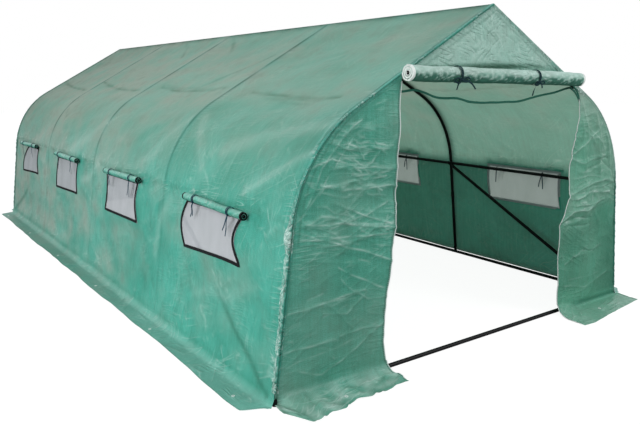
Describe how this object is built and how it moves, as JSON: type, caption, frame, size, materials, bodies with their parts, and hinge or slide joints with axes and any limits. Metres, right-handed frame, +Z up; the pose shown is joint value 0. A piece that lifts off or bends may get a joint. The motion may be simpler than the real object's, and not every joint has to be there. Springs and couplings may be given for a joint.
{
  "type": "polytunnel greenhouse",
  "caption": "Walk-in polytunnel greenhouse: black tube hoops under a green woven film cover, with a rolled-up front door and rolled-up netted side windows.",
  "frame": {"origin": "middle of the tunnel on the ground", "axes": "+X to the right seen from the doorway end, +Y along the tunnel from the doorway to the closed rear end, +Z up"},
  "size_m": [3.32, 6.3346, 2.0014],
  "materials": {
    "frame_tube": "satin",
    "fitting": "matte",
    "foot_rubber": "matte",
    "film_wall": "translucent woven film, satin",
    "film_roof": "translucent woven film, satin",
    "film_end": "translucent woven film, satin, creased",
    "film_roll": "rolled woven film, satin",
    "net": "fine netting",
    "binding": "woven tape",
    "tie": "woven band",
    "zip": "tape with coil teeth",
    "eyelet": "plated"
  },
  "bodies": {
    "root": {"left_posts": "frame_tube", "right_posts": "frame_tube", "left_upper_posts": "frame_tube", "right_upper_posts": "frame_tube", "left_eave_bends": "frame_tube", "right_eave_bends": "frame_tube", "left_rafters": "frame_tube", "right_rafters": "frame_tube", "post_feet": "foot_rubber", "ridge_fittings": "fitting", "ridge_purlin": "frame_tube", "left_purlin": "frame_tube", "right_purlin": "frame_tube", "left_base_rail": "frame_tube", "right_base_rail": "frame_tube", "front_base_rail": "frame_tube", "rear_base_rail": "frame_tube", "left_braces": "frame_tube", "right_braces": "frame_tube", "left_wall_film": "film_wall", "right_wall_film": "film_wall", "left_eave_film": "film_roof", "right_eave_film": "film_roof", "left_roof_film": "film_roof", "right_roof_film": "film_roof", "front_left_panel": "film_end", "front_right_panel": "film_end", "front_gable_panel": "film_end", "rear_panel": "film_end", "left_skirt": "film_wall", "right_skirt": "film_wall", "front_left_skirt": "film_wall", "front_right_skirt": "film_wall", "rear_skirt": "film_wall", "peg_eyelets": "eyelet", "door_roll": "film_roll", "door_ties": "tie", "door_zips": "zip", "left_window_nets": "net", "right_window_nets": "net", "left_window_bindings": "binding", "right_window_bindings": "binding", "left_window_rolls": "film_roll", "right_window_rolls": "film_roll", "window_ties": "tie"}
  },
  "joints": []
}
